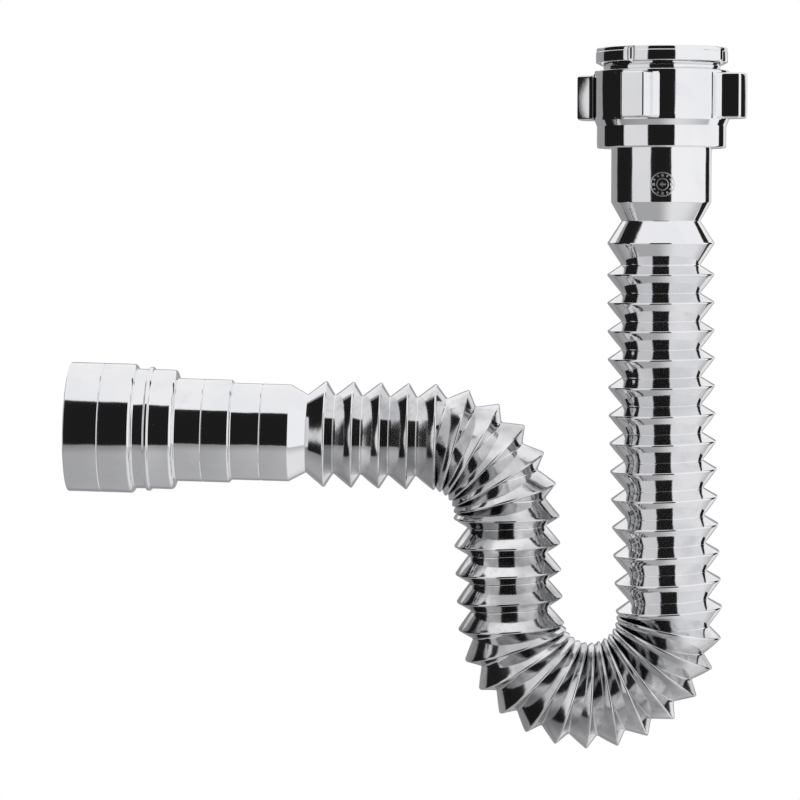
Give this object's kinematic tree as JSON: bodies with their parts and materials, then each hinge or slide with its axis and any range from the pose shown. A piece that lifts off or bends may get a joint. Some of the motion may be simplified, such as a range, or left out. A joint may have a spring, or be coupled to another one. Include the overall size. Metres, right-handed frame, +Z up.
{
  "type": "flexible p trap",
  "caption": "Chrome-look flexible p trap: threaded inlet union with wing nut, corrugated hose bent into a water seal, stepped outlet for four pipe sizes.",
  "frame": {"origin": "on the inlet's axis, at the top rim of the inlet adapter", "axes": "+Z up along the inlet, outlet towards -X, the hose's bends lie in the XZ plane"},
  "size_m": [0.2622, 0.0648, 0.2716],
  "materials": {
    "chromed_plastic": "vacuum-metallised polypropylene, mirror bright with faint moulding marks",
    "washer_rubber": "black moulded rubber, satin"
  },
  "bodies": {
    "root": {"inlet_adapter": "chromed_plastic", "adapter_washer": "washer_rubber"},
    "washer": {"union_washer": "washer_rubber"},
    "nut": {"union_nut": "chromed_plastic"},
    "cuff": {"inlet_cuff": "chromed_plastic", "inlet_leg_folds": "chromed_plastic"},
    "inlet_ring_01": {"inlet_ring_01": "chromed_plastic"},
    "inlet_ring_02": {"inlet_ring_02": "chromed_plastic"},
    "inlet_ring_03": {"inlet_ring_03": "chromed_plastic"},
    "inlet_ring_04": {"inlet_ring_04": "chromed_plastic"},
    "inlet_ring_05": {"inlet_ring_05": "chromed_plastic"},
    "inlet_ring_06": {"inlet_ring_06": "chromed_plastic"},
    "inlet_ring_07": {"inlet_ring_07": "chromed_plastic"},
    "inlet_ring_08": {"inlet_ring_08": "chromed_plastic"},
    "inlet_ring_09": {"inlet_ring_09": "chromed_plastic"},
    "inlet_ring_10": {"inlet_ring_10": "chromed_plastic"},
    "inlet_ring_11": {"inlet_ring_11": "chromed_plastic"},
    "inlet_ring_12": {"inlet_ring_12": "chromed_plastic"},
    "inlet_ring_13": {"inlet_ring_13": "chromed_plastic", "trap_bend_folds": "chromed_plastic"},
    "trap_ring_01": {"trap_ring_01": "chromed_plastic"},
    "trap_ring_02": {"trap_ring_02": "chromed_plastic"},
    "trap_ring_03": {"trap_ring_03": "chromed_plastic"},
    "trap_ring_04": {"trap_ring_04": "chromed_plastic"},
    "trap_ring_05": {"trap_ring_05": "chromed_plastic"},
    "trap_ring_06": {"trap_ring_06": "chromed_plastic"},
    "trap_ring_07": {"trap_ring_07": "chromed_plastic"},
    "trap_ring_08": {"trap_ring_08": "chromed_plastic"},
    "trap_ring_09": {"trap_ring_09": "chromed_plastic"},
    "trap_ring_10": {"trap_ring_10": "chromed_plastic"},
    "trap_ring_11": {"trap_ring_11": "chromed_plastic"},
    "trap_ring_12": {"trap_ring_12": "chromed_plastic"},
    "trap_ring_13": {"trap_ring_13": "chromed_plastic", "riser_folds": "chromed_plastic"},
    "riser_ring_01": {"riser_ring_01": "chromed_plastic"},
    "riser_ring_02": {"riser_ring_02": "chromed_plastic"},
    "riser_ring_03": {"riser_ring_03": "chromed_plastic"},
    "riser_ring_04": {"riser_ring_04": "chromed_plastic", "elbow_folds": "chromed_plastic"},
    "elbow_ring_01": {"elbow_ring_01": "chromed_plastic"},
    "elbow_ring_02": {"elbow_ring_02": "chromed_plastic"},
    "elbow_ring_03": {"elbow_ring_03": "chromed_plastic"},
    "elbow_ring_04": {"elbow_ring_04": "chromed_plastic"},
    "elbow_ring_05": {"elbow_ring_05": "chromed_plastic"},
    "elbow_ring_06": {"elbow_ring_06": "chromed_plastic", "outlet_arm_folds": "chromed_plastic"},
    "arm_ring_01": {"arm_ring_01": "chromed_plastic"},
    "arm_ring_02": {"arm_ring_02": "chromed_plastic"},
    "arm_ring_03": {"arm_ring_03": "chromed_plastic"},
    "outlet": {"outlet_spigot": "chromed_plastic"}
  },
  "joints": [
    {"name": "cuff_drop", "type": "slide", "parent": "root", "child": "washer", "axis": [0, 0, -1], "range_m": [0, 0.00924]},
    {"name": "nut_turn", "type": "hinge", "parent": "washer", "child": "nut", "pos_m": [0, 0, -0.007], "axis": [0, 0, -1], "range_deg": [0, 1440]},
    {"name": "hose_swivel", "type": "hinge", "parent": "washer", "child": "cuff", "pos_m": [0, 0, -0.034], "axis": [0, 0, 1], "continuous": true},
    {"name": "inlet_leg_stretch_01", "type": "slide", "parent": "cuff", "child": "inlet_ring_01", "axis": [0, 0, -1], "range_m": [-0.00823, 0.0014], "deforming": ["inlet_leg_folds"]},
    {"name": "inlet_leg_stretch_02", "type": "slide", "parent": "inlet_ring_01", "child": "inlet_ring_02", "axis": [0.0043, 0, -1], "range_m": [-0.00823, 0.0014]},
    {"name": "inlet_leg_stretch_03", "type": "slide", "parent": "inlet_ring_02", "child": "inlet_ring_03", "axis": [0.0086, 0, -1], "range_m": [-0.00823, 0.0014]},
    {"name": "inlet_leg_stretch_04", "type": "slide", "parent": "inlet_ring_03", "child": "inlet_ring_04", "axis": [0.0129, 0, -0.9999], "range_m": [-0.00823, 0.0014]},
    {"name": "inlet_leg_stretch_05", "type": "slide", "parent": "inlet_ring_04", "child": "inlet_ring_05", "axis": [0.0172, 0, -0.9999], "range_m": [-0.00823, 0.0014]},
    {"name": "inlet_leg_stretch_06", "type": "slide", "parent": "inlet_ring_05", "child": "inlet_ring_06", "axis": [0.0215, 0, -0.9998], "range_m": [-0.00823, 0.0014]},
    {"name": "inlet_leg_stretch_07", "type": "slide", "parent": "inlet_ring_06", "child": "inlet_ring_07", "axis": [0.0258, 0, -0.9997], "range_m": [-0.00823, 0.0014]},
    {"name": "inlet_leg_stretch_08", "type": "slide", "parent": "inlet_ring_07", "child": "inlet_ring_08", "axis": [0.0301, 0, -0.9995], "range_m": [-0.00823, 0.0014]},
    {"name": "inlet_leg_stretch_09", "type": "slide", "parent": "inlet_ring_08", "child": "inlet_ring_09", "axis": [0.0344, 0, -0.9994], "range_m": [-0.00823, 0.0014]},
    {"name": "inlet_leg_stretch_10", "type": "slide", "parent": "inlet_ring_09", "child": "inlet_ring_10", "axis": [0.0387, 0, -0.9993], "range_m": [-0.00823, 0.0014]},
    {"name": "inlet_leg_stretch_11", "type": "slide", "parent": "inlet_ring_10", "child": "inlet_ring_11", "axis": [0.0429, 0, -0.9991], "range_m": [-0.00823, 0.0014]},
    {"name": "inlet_leg_stretch_12", "type": "slide", "parent": "inlet_ring_11", "child": "inlet_ring_12", "axis": [0.0472, 0, -0.9989], "range_m": [-0.00823, 0.0014]},
    {"name": "inlet_leg_stretch_13", "type": "slide", "parent": "inlet_ring_12", "child": "inlet_ring_13", "axis": [0.0515, 0, -0.9987], "range_m": [-0.00823, 0.0014]},
    {"name": "trap_bend_01", "type": "hinge", "parent": "inlet_ring_13", "child": "trap_ring_01", "pos_m": [0.01815, 0, -0.22313], "axis": [0, 1, 0], "range_deg": [-13.81, 0], "deforming": ["trap_bend_folds"]},
    {"name": "trap_bend_02", "type": "hinge", "parent": "trap_ring_01", "child": "trap_ring_02", "pos_m": [0.01615, 0, -0.23378], "axis": [0, 1, 0], "range_deg": [-13.81, 0]},
    {"name": "trap_bend_03", "type": "hinge", "parent": "trap_ring_02", "child": "trap_ring_03", "pos_m": [0.01168, 0, -0.24364], "axis": [0, 1, 0], "range_deg": [-13.81, 0]},
    {"name": "trap_bend_04", "type": "hinge", "parent": "trap_ring_03", "child": "trap_ring_04", "pos_m": [0.00498, 0, -0.25214], "axis": [0, 1, 0], "range_deg": [-13.81, 0]},
    {"name": "trap_bend_05", "type": "hinge", "parent": "trap_ring_04", "child": "trap_ring_05", "pos_m": [-0.00356, 0, -0.25881], "axis": [0, 1, 0], "range_deg": [-13.81, 0]},
    {"name": "trap_bend_06", "type": "hinge", "parent": "trap_ring_05", "child": "trap_ring_06", "pos_m": [-0.01344, 0, -0.26324], "axis": [0, 1, 0], "range_deg": [-13.81, 0]},
    {"name": "trap_bend_07", "type": "hinge", "parent": "trap_ring_06", "child": "trap_ring_07", "pos_m": [-0.0241, 0, -0.26519], "axis": [0, 1, 0], "range_deg": [-13.81, 0]},
    {"name": "trap_bend_08", "type": "hinge", "parent": "trap_ring_07", "child": "trap_ring_08", "pos_m": [-0.03491, 0, -0.26453], "axis": [0, 1, 0], "range_deg": [-13.81, 0]},
    {"name": "trap_bend_09", "type": "hinge", "parent": "trap_ring_08", "child": "trap_ring_09", "pos_m": [-0.04525, 0, -0.26132], "axis": [0, 1, 0], "range_deg": [-13.81, 0]},
    {"name": "trap_bend_10", "type": "hinge", "parent": "trap_ring_09", "child": "trap_ring_10", "pos_m": [-0.05453, 0, -0.25573], "axis": [0, 1, 0], "range_deg": [-13.81, 0]},
    {"name": "trap_bend_11", "type": "hinge", "parent": "trap_ring_10", "child": "trap_ring_11", "pos_m": [-0.0622, 0, -0.24809], "axis": [0, 1, 0], "range_deg": [-13.81, 0]},
    {"name": "trap_bend_12", "type": "hinge", "parent": "trap_ring_11", "child": "trap_ring_12", "pos_m": [-0.06783, 0, -0.23884], "axis": [0, 1, 0], "range_deg": [-13.81, 0]},
    {"name": "trap_bend_13", "type": "hinge", "parent": "trap_ring_12", "child": "trap_ring_13", "pos_m": [-0.07109, 0, -0.22851], "axis": [0, 1, 0], "range_deg": [-13.81, 0]},
    {"name": "riser_stretch_01", "type": "slide", "parent": "trap_ring_13", "child": "riser_ring_01", "axis": [-0.0645, 0, 0.9979], "range_m": [-0.00823, 0.0014], "deforming": ["riser_folds"]},
    {"name": "riser_stretch_02", "type": "slide", "parent": "riser_ring_01", "child": "riser_ring_02", "axis": [-0.0541, 0, 0.9985], "range_m": [-0.00823, 0.0014]},
    {"name": "riser_stretch_03", "type": "slide", "parent": "riser_ring_02", "child": "riser_ring_03", "axis": [-0.0436, 0, 0.999], "range_m": [-0.00823, 0.0014]},
    {"name": "riser_stretch_04", "type": "slide", "parent": "riser_ring_03", "child": "riser_ring_04", "axis": [-0.0332, 0, 0.9995], "range_m": [-0.00823, 0.0014]},
    {"name": "elbow_bend_01", "type": "hinge", "parent": "riser_ring_04", "child": "elbow_ring_01", "pos_m": [-0.04734, 0, -0.17388], "axis": [0, 1, 0], "range_deg": [0, 12], "deforming": ["elbow_folds"]},
    {"name": "elbow_bend_02", "type": "hinge", "parent": "elbow_ring_01", "child": "elbow_ring_02", "pos_m": [-0.05029, 0, -0.16346], "axis": [0, 1, 0], "range_deg": [0, 12]},
    {"name": "elbow_bend_03", "type": "hinge", "parent": "elbow_ring_02", "child": "elbow_ring_03", "pos_m": [-0.05578, 0, -0.15412], "axis": [0, 1, 0], "range_deg": [0, 12]},
    {"name": "elbow_bend_04", "type": "hinge", "parent": "elbow_ring_03", "child": "elbow_ring_04", "pos_m": [-0.06343, 0, -0.14646], "axis": [0, 1, 0], "range_deg": [0, 12]},
    {"name": "elbow_bend_05", "type": "hinge", "parent": "elbow_ring_04", "child": "elbow_ring_05", "pos_m": [-0.07276, 0, -0.14096], "axis": [0, 1, 0], "range_deg": [0, 12]},
    {"name": "elbow_bend_06", "type": "hinge", "parent": "elbow_ring_05", "child": "elbow_ring_06", "pos_m": [-0.08317, 0, -0.13798], "axis": [0, 1, 0], "range_deg": [0, 12]},
    {"name": "outlet_arm_stretch_01", "type": "slide", "parent": "elbow_ring_06", "child": "arm_ring_01", "axis": [-0.9997, 0, 0.0244], "range_m": [-0.00823, 0.0014], "deforming": ["outlet_arm_folds"]},
    {"name": "outlet_arm_stretch_02", "type": "slide", "parent": "arm_ring_01", "child": "arm_ring_02", "axis": [-0.9997, 0, 0.0253], "range_m": [-0.00823, 0.0014]},
    {"name": "outlet_arm_stretch_03", "type": "slide", "parent": "arm_ring_02", "child": "arm_ring_03", "axis": [-0.9997, 0, 0.0262], "range_m": [-0.00823, 0.0014]},
    {"name": "outlet_arm_stretch_04", "type": "slide", "parent": "arm_ring_03", "child": "outlet", "axis": [-0.9996, 0, 0.0271], "range_m": [-0.00823, 0.0014]}
  ],
  "couplings": [
    {"joint": "cuff_drop", "follows": "nut_turn", "m_per_rad": 0.00036749},
    {"joint": "inlet_leg_stretch_02", "follows": "inlet_leg_stretch_01", "ratio": 1},
    {"joint": "inlet_leg_stretch_03", "follows": "inlet_leg_stretch_01", "ratio": 1},
    {"joint": "inlet_leg_stretch_04", "follows": "inlet_leg_stretch_01", "ratio": 1},
    {"joint": "inlet_leg_stretch_05", "follows": "inlet_leg_stretch_01", "ratio": 1},
    {"joint": "inlet_leg_stretch_06", "follows": "inlet_leg_stretch_01", "ratio": 1},
    {"joint": "inlet_leg_stretch_07", "follows": "inlet_leg_stretch_01", "ratio": 1},
    {"joint": "inlet_leg_stretch_08", "follows": "inlet_leg_stretch_01", "ratio": 1},
    {"joint": "inlet_leg_stretch_09", "follows": "inlet_leg_stretch_01", "ratio": 1},
    {"joint": "inlet_leg_stretch_10", "follows": "inlet_leg_stretch_01", "ratio": 1},
    {"joint": "inlet_leg_stretch_11", "follows": "inlet_leg_stretch_01", "ratio": 1},
    {"joint": "inlet_leg_stretch_12", "follows": "inlet_leg_stretch_01", "ratio": 1},
    {"joint": "inlet_leg_stretch_13", "follows": "inlet_leg_stretch_01", "ratio": 1},
    {"joint": "trap_bend_02", "follows": "trap_bend_01", "ratio": 1},
    {"joint": "trap_bend_03", "follows": "trap_bend_01", "ratio": 1},
    {"joint": "trap_bend_04", "follows": "trap_bend_01", "ratio": 1},
    {"joint": "trap_bend_05", "follows": "trap_bend_01", "ratio": 1},
    {"joint": "trap_bend_06", "follows": "trap_bend_01", "ratio": 1},
    {"joint": "trap_bend_07", "follows": "trap_bend_01", "ratio": 1},
    {"joint": "trap_bend_08", "follows": "trap_bend_01", "ratio": 1},
    {"joint": "trap_bend_09", "follows": "trap_bend_01", "ratio": 1},
    {"joint": "trap_bend_10", "follows": "trap_bend_01", "ratio": 1},
    {"joint": "trap_bend_11", "follows": "trap_bend_01", "ratio": 1},
    {"joint": "trap_bend_12", "follows": "trap_bend_01", "ratio": 1},
    {"joint": "trap_bend_13", "follows": "trap_bend_01", "ratio": 1},
    {"joint": "riser_stretch_02", "follows": "riser_stretch_01", "ratio": 1},
    {"joint": "riser_stretch_03", "follows": "riser_stretch_01", "ratio": 1},
    {"joint": "riser_stretch_04", "follows": "riser_stretch_01", "ratio": 1},
    {"joint": "elbow_bend_02", "follows": "elbow_bend_01", "ratio": 1},
    {"joint": "elbow_bend_03", "follows": "elbow_bend_01", "ratio": 1},
    {"joint": "elbow_bend_04", "follows": "elbow_bend_01", "ratio": 1},
    {"joint": "elbow_bend_05", "follows": "elbow_bend_01", "ratio": 1},
    {"joint": "elbow_bend_06", "follows": "elbow_bend_01", "ratio": 1},
    {"joint": "outlet_arm_stretch_02", "follows": "outlet_arm_stretch_01", "ratio": 1},
    {"joint": "outlet_arm_stretch_03", "follows": "outlet_arm_stretch_01", "ratio": 1},
    {"joint": "outlet_arm_stretch_04", "follows": "outlet_arm_stretch_01", "ratio": 1}
  ]
}
